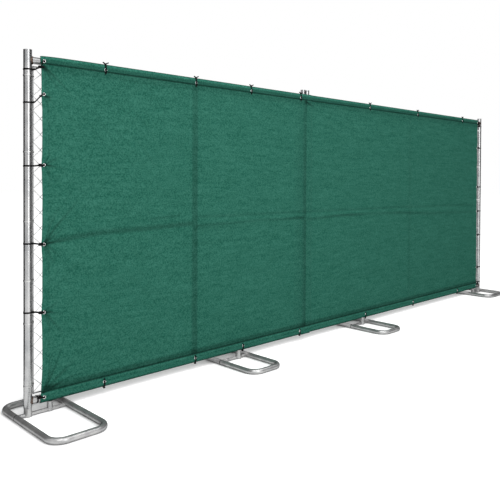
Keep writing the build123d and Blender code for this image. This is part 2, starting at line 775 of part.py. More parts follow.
def save_panel(panel):
    """Frame, mesh, eyelets and ties of one panel."""
    name = panel.name
    outer = ((panel.outer_x, 0, outer_post_bottom), (panel.outer_x, 0, outer_post_top))
    inner = ((panel.inner_x, 0, inner_post_bottom), (panel.inner_x, 0, inner_post_top))
    save(name + "_outer_post", tube_between(*outer, outer_post_d, outer_post_wall))
    save(name + "_inner_post", tube_between(*inner, inner_post_d, inner_post_wall))
    save(name + "_top_rail", coped_rail(panel, top_rail_z))
    save(name + "_bottom_rail", bottom_rail(panel))
    save(name + "_brace", coped_brace(panel))
    save(name + "_frame_welds", *frame_welds(panel))
    save(name + "_chain_link", chain_link(panel))
    save(name + "_tension_rods", *tension_rods(panel))
    save(name + "_tension_bands", *tension_bands(panel))
    save(name + "_wire_ties", *wire_ties(panel))
    grommets = [hem_grommet(x, z) for x, z in hem_grommet_places(panel)]
    grommets += [edge_grommet(panel, z) for z in edge_tie_heights(panel)]
    save(name + "_grommets", *grommets)
    save(name + "_top_ties", *[rail_tie(x, top_rail_z, 1) for x in top_tie_x[name]])
    save(name + "_bottom_ties", *[rail_tie(x, bottom_rail_z, -1) for x in bottom_tie_x[name]])
    save(name + "_post_ties", *[post_tie(panel, z) for z in post_tie_heights(panel)])


def save_screen():
    """The screen in three nodes, cut clear of the joint that it folds at."""
    screen = whole_screen()
    left_cut = left_inner_x - screen_joint_reach
    right_cut = right_inner_x + screen_joint_reach
    save("left_screen", screen_between(screen, screen_left_edge, left_cut))
    save("joint_screen_strip", screen_between(screen, left_cut, right_cut - soft_gap))
    save("right_screen", screen_between(screen, right_cut, screen_right_edge))


os.makedirs("parts", exist_ok=True)
for fence_panel in panels:
    save_panel(fence_panel)
save_screen()
clamp_bands, clamp_bolts, clamp_nuts = joint_clamps()
save("joint_bands", *clamp_bands)
save("joint_bolts", *clamp_bolts)
save("joint_nuts", *clamp_nuts)
save_end_stand("left_end_stand", left_outer_x, -1, left_end_short_side)
save_mid_stand("left_mid_stand", left_mid_x, -1)
save_mid_stand("right_mid_stand", right_mid_x, -1)
save_end_stand("right_end_stand", right_outer_x, 1, right_end_short_side)
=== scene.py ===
import json
import math

import bpy
import numpy as np
from mathutils import Euler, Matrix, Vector


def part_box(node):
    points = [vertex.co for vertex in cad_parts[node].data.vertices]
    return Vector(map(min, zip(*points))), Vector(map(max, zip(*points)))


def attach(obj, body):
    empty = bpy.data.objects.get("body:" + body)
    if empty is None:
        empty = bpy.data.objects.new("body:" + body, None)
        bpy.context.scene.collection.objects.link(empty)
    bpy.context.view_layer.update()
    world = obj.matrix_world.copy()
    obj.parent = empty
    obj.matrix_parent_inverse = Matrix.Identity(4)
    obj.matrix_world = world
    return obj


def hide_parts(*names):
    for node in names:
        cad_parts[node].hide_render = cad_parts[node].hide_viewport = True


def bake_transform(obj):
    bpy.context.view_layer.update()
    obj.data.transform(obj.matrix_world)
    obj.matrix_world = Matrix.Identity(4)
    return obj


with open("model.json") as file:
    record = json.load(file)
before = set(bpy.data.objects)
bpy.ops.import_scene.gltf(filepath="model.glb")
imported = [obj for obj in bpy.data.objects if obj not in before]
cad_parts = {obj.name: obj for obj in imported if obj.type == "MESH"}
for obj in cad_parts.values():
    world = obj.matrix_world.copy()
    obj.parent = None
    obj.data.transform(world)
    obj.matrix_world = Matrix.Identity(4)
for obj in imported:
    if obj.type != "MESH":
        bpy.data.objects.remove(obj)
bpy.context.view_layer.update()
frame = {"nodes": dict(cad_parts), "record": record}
nodes = frame["nodes"]


# Places read from the frame, in metres
def middle(node):
    """Middle of a node's box."""
    low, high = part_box(node)
    return (low + high) / 2


LEFT_POST_X = middle("left_outer_post").x
RIGHT_POST_X = middle("right_outer_post").x
LEFT_INNER_X = middle("left_inner_post").x
RIGHT_INNER_X = middle("right_inner_post").x
JOINT_X = (LEFT_INNER_X + RIGHT_INNER_X) / 2
LEFT_BRACE_X = middle("left_brace").x
RIGHT_BRACE_X = middle("right_brace").x
TOP_Z = middle("left_top_rail").z
BOTTOM_Z = middle("left_bottom_rail").z
SCREEN_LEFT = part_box("left_screen")[0].x
SCREEN_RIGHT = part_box("right_screen")[1].x
POST_R = (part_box("left_outer_post")[1].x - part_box("left_outer_post")[0].x) / 2
NET_Y = middle("left_chain_link").y

# Sizes of the soft and small pieces, in metres
HEM_R = 0.0203
SHEET_Y = 0.0168
TOP_SEAM_Z = 1.767
BOTTOM_SEAM_Z = 0.110
TOP_FOLD = 0.0305
EYELET_R = 0.009
EYELET_BORE = 0.005
EYELET_HEIGHT = 0.0018
EYELET_POST_GAP = 0.056
BOTTOM_EYELET_RISE = 0.007
HEM_EYELET_Y = -0.0208
EDGE_EYELET_Y = -0.0177
KNOT_POST_GAP = 0.0375
LEFT_EDGE_DRAW = (0.0085, 0.0125, 0.0080)
RIGHT_EDGE_DRAW = (0.0070, 0.0150, 0.0090)
FULL_BOW_SPAN = 0.35
RAIL_TIE_WIDTH = 0.0090
POST_TIE_WIDTH = 0.0080
TIE_THICKNESS = 0.0013
LOOP_SEAM = 0.025

# Chain-link mesh: the rods it hooks on, its wires, and the rise of one leg of a wire from turn to turn
ROD_R = 0.0035
WIRE_R = 0.0014
WIRE_SIDES = 6
LEFT_WIRES = 52
RIGHT_WIRES = 70
MESH_LEGS = 42
MESH_END_LEGS = 6
MESH_RISE = 0.03964
MESH_PITCH = 0.0377
HOOK_RISE = 0.003
TURN_SHARE = 0.12

# Grid of the cloth: steps between its lines, and how far from the hinge the lines each side of it stand
CLOSE_STEP = 0.003
CLOSE_LINES = 3
CLOSE_CLEAR = 0.0105
LEAST_STEP = 0.0012
ROW_STEP = 0.005
EDGE_ZONE = 0.25
EDGE_STEP = 0.003
NEAR_ZONE = 1.0
NEAR_STEP = 0.006
FAR_STEP = 0.008
BEND_LINES = 0.006

# Tie and eyelet places: distances along the fence from the left post, and heights
LEFT_TOP_TIES = (0.4277, 1.0587, 1.5321, 2.0340)
LEFT_BOTTOM_TIES = (0.4214, 1.0587, 1.4635, 2.0340)
RIGHT_TOP_TIES = (2.8984, 3.6434, 4.4969)
RIGHT_BOTTOM_TIES = (2.8535, 3.5878, 4.4163)
LEFT_EDGE_HEIGHTS = (1.614, 1.258, 0.858, 0.514)
RIGHT_EDGE_HEIGHTS = (1.519, 1.112, 0.860, 0.611, 0.273)

random = np.random.default_rng(11)


# Mesh building
class Builder:
    """Collects the points and faces of one piece."""

    def __init__(self):
        self.points = []
        self.faces = []

    def add(self, points, faces):
        start = len(self.points)
        self.points += [tuple(p) for p in points]
        self.faces += [tuple(i + start for i in face) for face in faces]

    def piece(self, name, material, smooth_angle=40):
        mesh = bpy.data.meshes.new(name)
        mesh.from_pydata(self.points, [], self.faces)
        mesh.update()
        piece = bpy.data.objects.new(name, mesh)
        bpy.context.scene.collection.objects.link(piece)
        mesh.materials.append(material)
        mesh.shade_smooth()
        if smooth_angle < 180:
            mesh.set_sharp_from_angle(angle=math.radians(smooth_angle))
        return piece


def swept(sections, closed=False):
    """Faces of a skin over a row of equal closed sections, with capped ends."""
    count = len(sections[0])
    points = [p for section in sections for p in section]
    faces = []
    last = len(sections) if closed else len(sections) - 1
    for i in range(last):
        j = (i + 1) % len(sections)
        for k in range(count):
            m = (k + 1) % count
            faces.append((i * count + k, i * count + m, j * count + m, j * count + k))
    if not closed:
        faces.append(tuple(reversed(range(count))))
        faces.append(tuple(range((len(sections) - 1) * count, len(sections) * count)))
    return points, faces


def directions(path, closed):
    """Unit direction of travel at each point of a path."""
    found = []
    for i in range(len(path)):
        before = path[i - 1] if closed or i > 0 else path[i]
        after = path[(i + 1) % len(path)] if closed or i < len(path) - 1 else path[i]
        found.append((after - before).normalized())
    return found


def round_bar(path, radius, sides, up, closed=False):
    """Round bar along a path."""
    sections = []
    for point, along in zip(path, directions(path, closed)):
        across = along.cross(up).normalized()
        over = across.cross(along)
        ring = [2 * math.pi * k / sides for k in range(sides)]
        sections.append([point + radius * (math.cos(a) * across + math.sin(a) * over) for a in ring])
    return swept(sections, closed)


def strap(path, side, width, thickness, closed=False):
    """Flat strap along a path, with its width along the given side."""
    sections = []
    for point, along in zip(path, directions(path, closed)):
        over = along.cross(side).normalized() * thickness / 2
        across = side * width / 2
        low, high = point - over, point + over
        sections.append([low - across, low + across, high + across, high - across])
    return swept(sections, closed)


def block(centre, size, tilt=0.0):
    """Box with chamfered ends, tilted about the Y axis."""
    corners = []
    half = Vector(size) / 2
    cosine, sine = math.cos(tilt), math.sin(tilt)
    turn = Vector((cosine, 0, -sine)), Vector((0, 1, 0)), Vector((sine, 0, cosine))
    for z, share in ((-1, 0.75), (-0.6, 1), (0.6, 1), (1, 0.75)):
        for x, y in ((-1, -1), (1, -1), (1, 1), (-1, 1)):
            local = (x * half.x * share, y * half.y * share, z * half.z)
            corners.append(Vector(centre) + sum((v * axis for v, axis in zip(local, turn)), Vector()))
    sections = [corners[i:i + 4] for i in range(0, 16, 4)]
    return swept(sections)


# Materials
def material(name):
    """Empty principled material, with its node tree and its shader."""
    made = bpy.data.materials.new(name)
    made.use_nodes = True
    return made, made.node_tree, made.node_tree.nodes["Principled BSDF"]


def noise(tree, scale, detail, stretch=(1, 1, 1)):
    """Noise over the object's own coordinates."""
    place = tree.nodes.new("ShaderNodeTexCoord")
    mapping = tree.nodes.new("ShaderNodeMapping")
    mapping.inputs["Scale"].default_value = stretch
    texture = tree.nodes.new("ShaderNodeTexNoise")
    texture.inputs["Scale"].default_value = scale
    texture.inputs["Detail"].default_value = detail
    tree.links.new(place.outputs["Object"], mapping.inputs["Vector"])
    tree.links.new(mapping.outputs["Vector"], texture.inputs["Vector"])
    return texture.outputs["Fac"]


def spread(tree, value, low, high, from_low=0.3, from_high=0.7):
    """Value moved to a range."""
    ranged = tree.nodes.new("ShaderNodeMapRange")
    ranged.inputs["From Min"].default_value = from_low
    ranged.inputs["From Max"].default_value = from_high
    ranged.inputs["To Min"].default_value = low
    ranged.inputs["To Max"].default_value = high
    tree.links.new(value, ranged.inputs["Value"])
    return ranged.outputs["Result"]


def two_colours(tree, value, first, second):
    """Colour between two, by a value."""
    mix = tree.nodes.new("ShaderNodeMix")
    mix.data_type = "RGBA"
    mix.inputs["A"].default_value = (*first, 1)
    mix.inputs["B"].default_value = (*second, 1)
    tree.links.new(value, mix.inputs["Factor"])
    return mix.outputs["Result"]


def bump(tree, shader, height, strength, distance):
    """Small relief on a shader."""
    relief = tree.nodes.new("ShaderNodeBump")
    relief.inputs["Strength"].default_value = strength
    relief.inputs["Distance"].default_value = distance
    tree.links.new(height, relief.inputs["Height"])
    tree.links.new(relief.outputs["Normal"], shader.inputs["Normal"])


def seam_mark(tree, seam):
    """1 away from the line where a bent tube's two ends meet, and 0 on it."""
    place = tree.nodes.new("ShaderNodeTexCoord")
    found = place.outputs["Object"]
    for operation, value in (("SUBTRACT", (*seam, 0)), ("MULTIPLY", (30, 380, 0)), ("LENGTH", None)):
        step = tree.nodes.new("ShaderNodeVectorMath")
        step.operation = operation
        tree.links.new(found, step.inputs[0])
        if value:
            step.inputs[1].default_value = value
        found = step.outputs["Value" if operation == "LENGTH" else "Vector"]
    return spread(tree, found, 0, 1, 0.8, 1.3)


def metal(name, first, second, smooth, rough, grain, edge=0.25, share=1.0, seam=None):
    """Metal with mottled colour and finish, duller at grazing angles, and dark along a seam if it has one."""
    made, tree, shader = material(name)
    shader.inputs["Metallic"].default_value = share
    shader.inputs["Specular Tint"].default_value = (edge, edge, edge, 1)
    mottle = spread(tree, noise(tree, grain, 4), 0, 1)
    colour = two_colours(tree, mottle, first, second)
    if seam:
        marked = tree.nodes.new("ShaderNodeMix")
        marked.data_type = "RGBA"
        marked.inputs["A"].default_value = (0.012, 0.012, 0.012, 1)
        tree.links.new(seam_mark(tree, seam), marked.inputs["Factor"])
        tree.links.new(colour, marked.inputs["B"])
        colour = marked.outputs["Result"]
    tree.links.new(colour, shader.inputs["Base Color"])
    tree.links.new(spread(tree, noise(tree, grain * 3, 3), smooth, rough), shader.inputs["Roughness"])
    bump(tree, shader, noise(tree, 60, 2), 0.03, 0.0006)
    return made


def plastic(name, first, second, rough):
    """Moulded plastic with a slight grain."""
    made, tree, shader = material(name)
    mottle = spread(tree, noise(tree, 90, 3), 0, 1)
    tree.links.new(two_colours(tree, mottle, first, second), shader.inputs["Base Color"])
    shader.inputs["Roughness"].default_value = rough
    shader.inputs["Specular IOR Level"].default_value = 0.06
    bump(tree, shader, noise(tree, 900, 2), 0.2, 0.0004)
    return made


def knitted(name, dark, light):
    """Knitted screen: grain in the yarn, times the painted shade and painted light that the cloth's own
    points carry.
    """
    made, tree, shader = material(name)
    links = tree.links
    fine = spread(tree, noise(tree, 150, 3), 0, 1, 0.36, 0.64)
    streak = spread(tree, noise(tree, 30, 4, (0.3, 1, 2.2)), 0, 1, 0.32, 0.68)
    grain = tree.nodes.new("ShaderNodeMix")
    grain.inputs["Factor"].default_value = 0.28
    links.new(fine, grain.inputs["A"])
    links.new(streak, grain.inputs["B"])
    colour = two_colours(tree, grain.outputs["Result"], dark, light)
    # The cloth's points carry painted shade and painted light, which darken or lighten its colour
    painted_shading = tree.nodes.new("ShaderNodeAttribute")
    painted_shading.attribute_name = "painted_shading"
    toned = tree.nodes.new("ShaderNodeMix")
    toned.data_type = "RGBA"
    toned.blend_type = "MULTIPLY"
    toned.inputs["Factor"].default_value = 1.0
    links.new(colour, toned.inputs["A"])
    links.new(painted_shading.outputs["Fac"], toned.inputs["B"])
    links.new(toned.outputs["Result"], shader.inputs["Base Color"])
    shader.inputs["Roughness"].default_value = 0.95
    shader.inputs["Specular IOR Level"].default_value = 0.04
    place = tree.nodes.new("ShaderNodeTexCoord")
    rows = tree.nodes.new("ShaderNodeTexWave")
    rows.bands_direction = "Z"
    rows.inputs["Scale"].default_value = 90
    rows.inputs["Distortion"].default_value = 1.5
    links.new(place.outputs["Object"], rows.inputs["Vector"])
    bump(tree, shader, rows.outputs["Fac"], 0.25, 0.0008)
    through = tree.nodes.new("ShaderNodeBsdfTranslucent")
    links.new(toned.outputs["Result"], through.inputs["Color"])
    mixed = tree.nodes.new("ShaderNodeMixShader")
    mixed.inputs["Fac"].default_value = 0.12
    links.new(shader.outputs["BSDF"], mixed.inputs[1])
    links.new(through.outputs["BSDF"], mixed.inputs[2])
    links.new(mixed.outputs["Shader"], tree.nodes["Material Output"].inputs["Surface"])
    return made


finishes = {
    "galvanised_tube": metal("galvanised tube", (0.29, 0.295, 0.30), (0.42, 0.42, 0.42),
                             smooth=0.24, rough=0.34, grain=14, edge=0.05),
    "galvanised_wire": metal("galvanised wire", (0.36, 0.365, 0.37), (0.50, 0.50, 0.49),
                             smooth=0.32, rough=0.5, grain=30),
    "zinc_hardware": metal("zinc hardware", (0.36, 0.37, 0.36), (0.52, 0.52, 0.50),
                           smooth=0.25, rough=0.45, grain=60),
    "weld": metal("weld bead", (0.06, 0.04, 0.033), (0.15, 0.11, 0.09), smooth=0.4, rough=0.7, grain=120),
    "eyelet": metal("nickel eyelet", (0.60, 0.60, 0.60), (0.74, 0.74, 0.735),
                    smooth=0.20, rough=0.32, grain=120),
    "cable_tie": plastic("black nylon", (0.002, 0.002, 0.0022), (0.006, 0.006, 0.0065), rough=0.55),
    "screen": knitted("knitted screen", (0.0080, 0.0755, 0.0510), (0.0395, 0.1655, 0.1215)),
}


def stand_metal(name, seam=None):
    """Galvanised tube of the stands, with a seam where a loop's ends meet."""
    return metal(name, (0.30, 0.30, 0.305), (0.48, 0.48, 0.475),
                 smooth=0.28, rough=0.40, grain=18, edge=0.03, share=0.7, seam=seam)


stand_finish = stand_metal("galvanised stand")
for part in frame["record"]["subparts"]:
    finish = stand_finish if "_stand_" in part["node"] else finishes[part["material_slot"]]
    if part["node"].endswith("_loop"):
        low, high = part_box(part["node"])
        seam = (high.x, LOOP_SEAM) if part["node"].startswith("right_end") else (low.x, -LOOP_SEAM)
        finish = stand_metal(part["node"] + " metal", seam)
    nodes[part["node"]].data.materials.clear()
    nodes[part["node"]].data.materials.append(finish)


# Chain-link mesh
def chain_link(name, rods, wires):
    """Mesh of flattened spirals, each hooked into the next, the outer ones round the rods."""
    low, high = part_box(rods)
    low_x, high_x = low.x + ROD_R, high.x - ROD_R
    low_z, high_z = low.z + ROD_R, high.z - ROD_R
    pitch = (high_x - low_x) / wires
    even = MESH_LEGS - MESH_END_LEGS
    heights = np.interp(range(MESH_LEGS + 1), (0, even, MESH_LEGS), (low_z, low_z + even * MESH_RISE, high_z))
    net = Builder()
    for i in range(wires):
        path = []
        for k in range(MESH_LEGS + 1):
            side = 1 if (i + k) % 2 else -1
            hook = ROD_R + WIRE_R if i + (side + 1) // 2 in (0, wires) else 0.0
            turn_x = low_x + (i + (side + 1) / 2) * pitch
            turn = Vector((turn_x + side * (hook + WIRE_R), NET_Y, heights[k]))
            reach = Vector((0, side * max(hook, WIRE_R), 0))
            if path:
                before = path[-1]
                across = Vector((0, NET_Y - before.y + side * WIRE_R, 0))
                path.append(before.lerp(turn, TURN_SHARE) + across)
                if hook:
                    path.append(Vector((turn_x, NET_Y, heights[k] - HOOK_RISE)) + reach)
                else:
                    path.append(before.lerp(turn, 1 - TURN_SHARE) + reach)
            path.append(turn)
            if hook and k < MESH_LEGS:
                path.append(Vector((turn_x, NET_Y, heights[k] + HOOK_RISE)) - reach)
        net.add(*round_bar(path, WIRE_R, WIRE_SIDES, Vector((0, 1, 0))))
    return net.piece(name, finishes["galvanised_wire"], 180)


for side, wires in (("left", LEFT_WIRES), ("right", RIGHT_WIRES)):
    net = chain_link(side + "_mesh_wires", side + "_tension_rods", wires)
    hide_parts(side + "_chain_link")
    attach(net, side + "_panel")


# Privacy screen
left_eyelet_x = LEFT_POST_X + POST_R + EYELET_POST_GAP
right_eyelet_x = RIGHT_POST_X - POST_R - EYELET_POST_GAP
BOTTOM_EYELET_Z = BOTTOM_Z + BOTTOM_EYELET_RISE
left_top_x = [LEFT_POST_X + d for d in LEFT_TOP_TIES]
left_bottom_x = [LEFT_POST_X + d for d in LEFT_BOTTOM_TIES]
right_top_x = [LEFT_POST_X + d for d in RIGHT_TOP_TIES]
right_bottom_x = [LEFT_POST_X + d for d in RIGHT_BOTTOM_TIES]
left_eyelets = [(x, TOP_Z) for x in left_top_x + [left_eyelet_x]]
left_eyelets += [(x, BOTTOM_EYELET_Z) for x in left_bottom_x + [left_eyelet_x]]
left_eyelets += [(left_eyelet_x, z) for z in LEFT_EDGE_HEIGHTS]
right_eyelets = [(x, TOP_Z) for x in right_top_x + [right_eyelet_x]]
right_eyelets += [(x, BOTTOM_EYELET_Z) for x in right_bottom_x + [right_eyelet_x]]
right_eyelets += [(right_eyelet_x, z) for z in RIGHT_EDGE_HEIGHTS]
eyelets = left_eyelets + right_eyelets


def eyelet_y(height):
    """Depth at which an eyelet lies: on a hem, or at the screen's side."""
    return HEM_EYELET_Y if height in (TOP_Z, BOTTOM_EYELET_Z) else EDGE_EYELET_Y


def smooth_step(value, low, high):
    """0 below low, 1 above high, and smooth between."""
    t = np.clip((value - low) / (high - low), 0, 1)
    return t * t * (3 - 2 * t)


def between(value, low, low_full, high_full, high):
    """1 from low_full to high_full, 0 below low and above high, and smooth between."""
    return smooth_step(value, low, low_full) * (1 - smooth_step(value, high_full, high))


def lines(low, high, step, centres):
    """Places of grid lines, closer together round the given centres."""
    count = int(round((high - low) / step))
    base = np.linspace(low, high, count + 1)
    for centre in centres:
        base = base[abs(base - centre) > CLOSE_CLEAR]
    around = range(-CLOSE_LINES, CLOSE_LINES + 1)
    close = [centre + k * CLOSE_STEP for centre in centres for k in around]
    found = np.sort(np.concatenate([base, close]))
    found = found[(found >= low) & (found <= high)]
    keep = np.concatenate([[True], np.diff(found) > LEAST_STEP])
    keep[-1] = True
    return found[keep]


# Hems of the cloth: angles at which they leave the rounds of the rails, points below the bottom round, as Y
# and a distance under the rail's middle, and points above the top round, as Y and a distance over it
BOTTOM_WRAP = -64
TOP_WRAP = 18
SKIRT = ((-0.0078, 0.0230), (-0.0082, 0.0206))
LIP = ((-0.0189, 0.0092), (-0.0183, 0.0122), (-0.0177, 0.0155), (-0.0170, 0.0190), (-0.0163, 0.0225),
       (-0.0155, 0.0260), (-0.0140, TOP_FOLD), (-0.0126, 0.0285), (-0.0120, 0.0240))
NEAR_BOTTOM = 0.06
NEAR_TOP = 0.045


def profile():
    """Line of the cloth from under the bottom rail to the fold over the top rail, as Y and Z."""
    leave = math.degrees(math.acos(SHEET_Y / HEM_R))
    low_arc = np.radians(np.linspace(BOTTOM_WRAP, leave, 14))
    high_arc = np.radians(np.linspace(-leave, TOP_WRAP, 8))
    low_y, low_z = -HEM_R * np.cos(low_arc), BOTTOM_Z + HEM_R * np.sin(low_arc)
    high_y, high_z = -HEM_R * np.cos(high_arc), TOP_Z + HEM_R * np.sin(high_arc)
    edge_low, edge_high = low_z[-1] + CLOSE_STEP, high_z[0] - CLOSE_STEP
    near_low = np.arange(edge_low, edge_low + NEAR_BOTTOM, CLOSE_STEP)
    near_high = np.arange(edge_high - NEAR_TOP, edge_high + 0.0001, CLOSE_STEP)
    heights = sorted(LEFT_EDGE_HEIGHTS + RIGHT_EDGE_HEIGHTS)
    main = lines(near_low[-1] + ROW_STEP, near_high[0] - ROW_STEP, ROW_STEP, heights)
    flat_z = np.concatenate([near_low, main, near_high])
    flat_y = np.full_like(flat_z, -SHEET_Y)
    skirt_y, skirt_drop = np.array(SKIRT).T
    lip_y, lip_rise = np.array(LIP).T
    return (np.concatenate([skirt_y, low_y, flat_y, high_y, lip_y]),
            np.concatenate([BOTTOM_Z - skirt_drop, low_z, flat_z, high_z, TOP_Z + lip_rise]))


def drawn_in(z, heights, draw):
    """How far the screen's edge lies inside its flat place: at corners, at eyelets, and more between them."""
    corner, pulled, bow = draw
    stops = np.array(sorted((BOTTOM_Z, TOP_Z) + tuple(heights)))
    depths = [corner] + [pulled] * len(heights) + [corner]
    found = np.interp(z, stops, depths)
    for low, high in zip(stops, stops[1:]):
        t = np.clip((z - low) / (high - low), 0, 1)
        depth = bow * min(1, (high - low) / FULL_BOW_SPAN)
        found += np.where((z > low) & (z < high), depth * 4 * t * (1 - t), 0)
    return found


# Folds of the screen. Each has a half width, a rise for its full strength, and places: distances along the
# fence from the left post, heights, and the strength there, which is also how much painted shade it puts in
# the cloth.
LEVEL_FOLDS = (
    (0.016, -0.009, ((0.100, 0.867, 0.22), (0.159, 0.874, 0.30), (0.391, 0.897, 0.31), (0.785, 0.905, 0.31),
                     (1.017, 0.915, 0.31))),
    (0.010, 0.006, ((0.716, 0.955, 0.12), (0.785, 0.961, 0.17), (0.932, 0.970, 0.17))),
    (0.010, 0.006, ((1.073, 0.956, 0.12), (1.427, 0.954, 0.14), (1.863, 0.955, 0.15), (2.433, 0.952, 0.14),
                    (2.598, 0.950, 0.16), (3.349, 0.948, 0.17), (3.861, 0.942, 0.13), (4.748, 0.932, 0.11))),
    (0.010, 0.006, ((1.073, 0.900, 0.20), (1.427, 0.907, 0.23), (1.661, 0.913, 0.14), (1.863, 0.908, 0.24),
                    (1.991, 0.910, 0.37), (2.057, 0.910, 0.37))),
    (0.011, 0.006, ((2.113, 0.897, 0.22), (2.193, 0.897, 0.22), (2.433, 0.907, 0.31), (2.599, 0.908, 0.38),
                    (2.704, 0.907, 0.36), (2.897, 0.908, 0.10))),
    (0.013, 0.005, ((2.897, 0.908, 0.10), (3.350, 0.900, 0.26), (3.862, 0.876, 0.20), (4.750, 0.861, 0.14))),
    (0.018, 0.004, ((1.073, 0.881, 0.09), (1.340, 0.879, 0.07), (1.609, 0.878, 0.03))),
    (0.010, 0.004, ((1.073, 0.794, 0.06), (1.615, 0.789, 0.03))),
)
SLACK_FOLDS = (
    (0.006, 0.006, ((0.361, 1.547, 0.10), (0.464, 1.418, 0.05))),
    (0.006, 0.006, ((0.626, 1.426, 0.08), (0.743, 1.282, 0.04))),
)
# A line of painted shade down the cloth near its left edge, given as a fold with no rise
EDGE_FOLD_SHADE = (0.005, 0.000, ((0.103, 1.714, 0.09), (0.103, 0.139, 0.09)))

# Wrinkles that run from a pulled point, which is a distance along the fence and a height. Each has a half
# width and places: distances from the point along and up, and the strength there, which is also painted
# shade.
PULL_RISE = 0.005
PULLS = {
    (0.078, 0.863): (
        (0.007, ((0, 0, 0.42), (0.062, 0.080, 0.30), (0.173, 0.200, 0.06))),
        (0.006, ((0, 0, 0.40), (0.103, 0.070, 0.08))),
        (0.006, ((0, 0, 0.36), (0.032, 0.090, 0.20), (0.082, 0.180, 0.04))),
        (0.007, ((0, 0, 0.42), (0.049, -0.099, 0.10))),
        (0.006, ((0, 0, 0.36), (0.082, -0.069, 0.05))),
        (0.006, ((0, 0, 0.32), (0.026, -0.160, 0.04))),
        (0.005, ((0.004, -0.002, 0.70), (0.030, 0, 0.55), (0.057, 0.003, 0.25), (0.123, 0.008, 0.10))),
    ),
    (0.078, 1.259): (
        (0.006, ((0, 0, 0.42), (0.082, 0.043, 0.06))),
        (0.005, ((0.004, -0.001, 0.70), (0.030, -0.003, 0.55), (0.052, -0.007, 0.22), (0.113, -0.017, 0.05))),
        (0.006, ((0, 0, 0.36), (0.037, 0.082, 0.05))),
        (0.006, ((0, 0, 0.36), (0.042, -0.087, 0.05))),
    ),
    (0.078, 1.613): (
        (0.006, ((0, 0, 0.36), (0.062, -0.053, 0.05))),
        (0.005, ((0, -0.009, 0.60), (0.030, -0.011, 0.45), (0.044, -0.012, 0.08))),
        (0.006, ((0, 0, 0.28), (0.027, -0.093, 0.04))),
    ),
    (0.078, 0.519): (
        (0.007, ((0, 0, 0.45), (0.047, -0.061, 0.28), (0.103, -0.126, 0.05))),
        (0.006, ((0, 0, 0.36), (0.083, 0.045, 0.04))),
        (0.005, ((0.004, -0.005, 0.70), (0.030, -0.007, 0.55), (0.052, -0.012, 0.22), (0.103, -0.025, 0.05))),
        (0.006, ((0, 0, 0.36), (0.037, -0.116, 0.04))),
    ),
    (0.078, 1.753): (
        (0.007, ((0, 0, 0.45), (0.082, -0.064, 0.24), (0.163, -0.144, 0.05))),
        (0.006, ((0, 0, 0.40), (0.042, -0.064, 0.18), (0.092, -0.124, 0.04))),
        (0.006, ((0, 0, 0.30), (0.020, -0.153, 0.03))),
    ),
    (0.074, 0.107): (
        (0.007, ((0, 0, 0.45), (0.056, 0.106, 0.26), (0.107, 0.226, 0.04))),
        (0.007, ((0, 0, 0.48), (0.077, 0.066, 0.30), (0.168, 0.126, 0.06))),
        (0.006, ((0, 0, 0.40), (0.034, 0.106, 0.18), (0.051, 0.216, 0.03))),
        (0.007, ((0, 0, 0.48), (0.107, 0.041, 0.28), (0.218, 0.056, 0.06))),
    ),
    (2.085, 1.756): (
        (0.008, ((0, 0, 0.40), (0.068, -0.030, 0.12))),
        (0.008, ((0, 0, 0.26), (0.145, -0.054, 0.05))),
        (0.008, ((0, 0, 0.24), (0.017, -0.098, 0.04))),
    ),
}


def pulled_folds():
    """The wrinkles of all pulled points, in the form of the other folds."""
    for (along, height), wrinkles in PULLS.items():
        for width, places in wrinkles:
            moved = [(along + across, height + up, strength) for across, up, strength in places]
            yield width, PULL_RISE, moved


# Ridges between the folds, given in the same way, with painted light on the cloth in place of shade
RIDGES = (
    (0.008, 0.010, ((0.172, 0.853, 0.05), (0.392, 0.873, 0.06), (0.716, 0.883, 0.06), (1.017, 0.893, 0.05))),
    (0.009, 0.008, ((1.073, 0.938, 0.03), (1.427, 0.927, 0.06), (1.863, 0.930, 0.06), (2.193, 0.931, 0.06),
                    (2.598, 0.932, 0.08), (3.349, 0.926, 0.06), (3.861, 0.914, 0.06), (4.749, 0.900, 0.05))),
)


# Sizes of the cloth's relief and of the zones in which it fades, in metres
LEVEL_WAVE = 0.00035
SLANTING_WAVE = 0.0003
BRACE_RISE = 0.0010
BRACE_WIDTH = 0.015
HEM_CLEAR = 0.02
HEM_FADE = 0.09
SEAM_FADE = 0.01
JOINT_FLAT = 0.046
JOINT_FADE = 0.062
JOINT_Y = -0.0212
JOINT_MIDDLE_Y = -0.0115
JOINT_SQUEEZE = 0.25
EYELET_FLAT = 0.0095
EYELET_FADE = 0.0130
EYELET_SINK = 0.0002
EYELET_CUT = 0.0082
CORNER_DROP = 0.006
CORNER_REACH = 0.06
DRAW_REACH = 0.018

# Dark bands in the cloth, where a tube behind it shuts out the light: both ends and the darkness at each
TUBE_BANDS = (
    (LEFT_BRACE_X - 0.009, LEFT_BRACE_X + 0.036, 0.19, 0.30),
    (JOINT_X - 0.130, JOINT_X - 0.054, 0.03, 0.09),
    (JOINT_X - 0.054, JOINT_X - 0.024, 0.10, 0.26),
    (JOINT_X - 0.024, JOINT_X - 0.003, 0.27, 0.31),
    (RIGHT_BRACE_X - 0.018, RIGHT_BRACE_X + 0.018, 0.04, 0.05),
)

# Level lines of painted shade along the two hems, where the cloth rolls round the rails: height, half width,
# and how much darker the cloth is there, painted light where that is below 0
HEM_SHADING_LINES = (
    (TOP_Z + TOP_FOLD, 0.004, 0.22),
    (TOP_Z + 0.022, 0.005, -0.20),
    (TOP_SEAM_Z, 0.005, 0.58),
    (TOP_SEAM_Z - 0.015, 0.005, 0.10),
    (TOP_SEAM_Z - 0.029, 0.006, 0.09),
    (BOTTOM_SEAM_Z, 0.005, 0.64),
    (BOTTOM_SEAM_Z - 0.011, 0.005, -0.16),
    (BOTTOM_SEAM_Z - 0.022, 0.005, 0.14),
    (BOTTOM_SEAM_Z - 0.037, 0.005, -0.14),
)


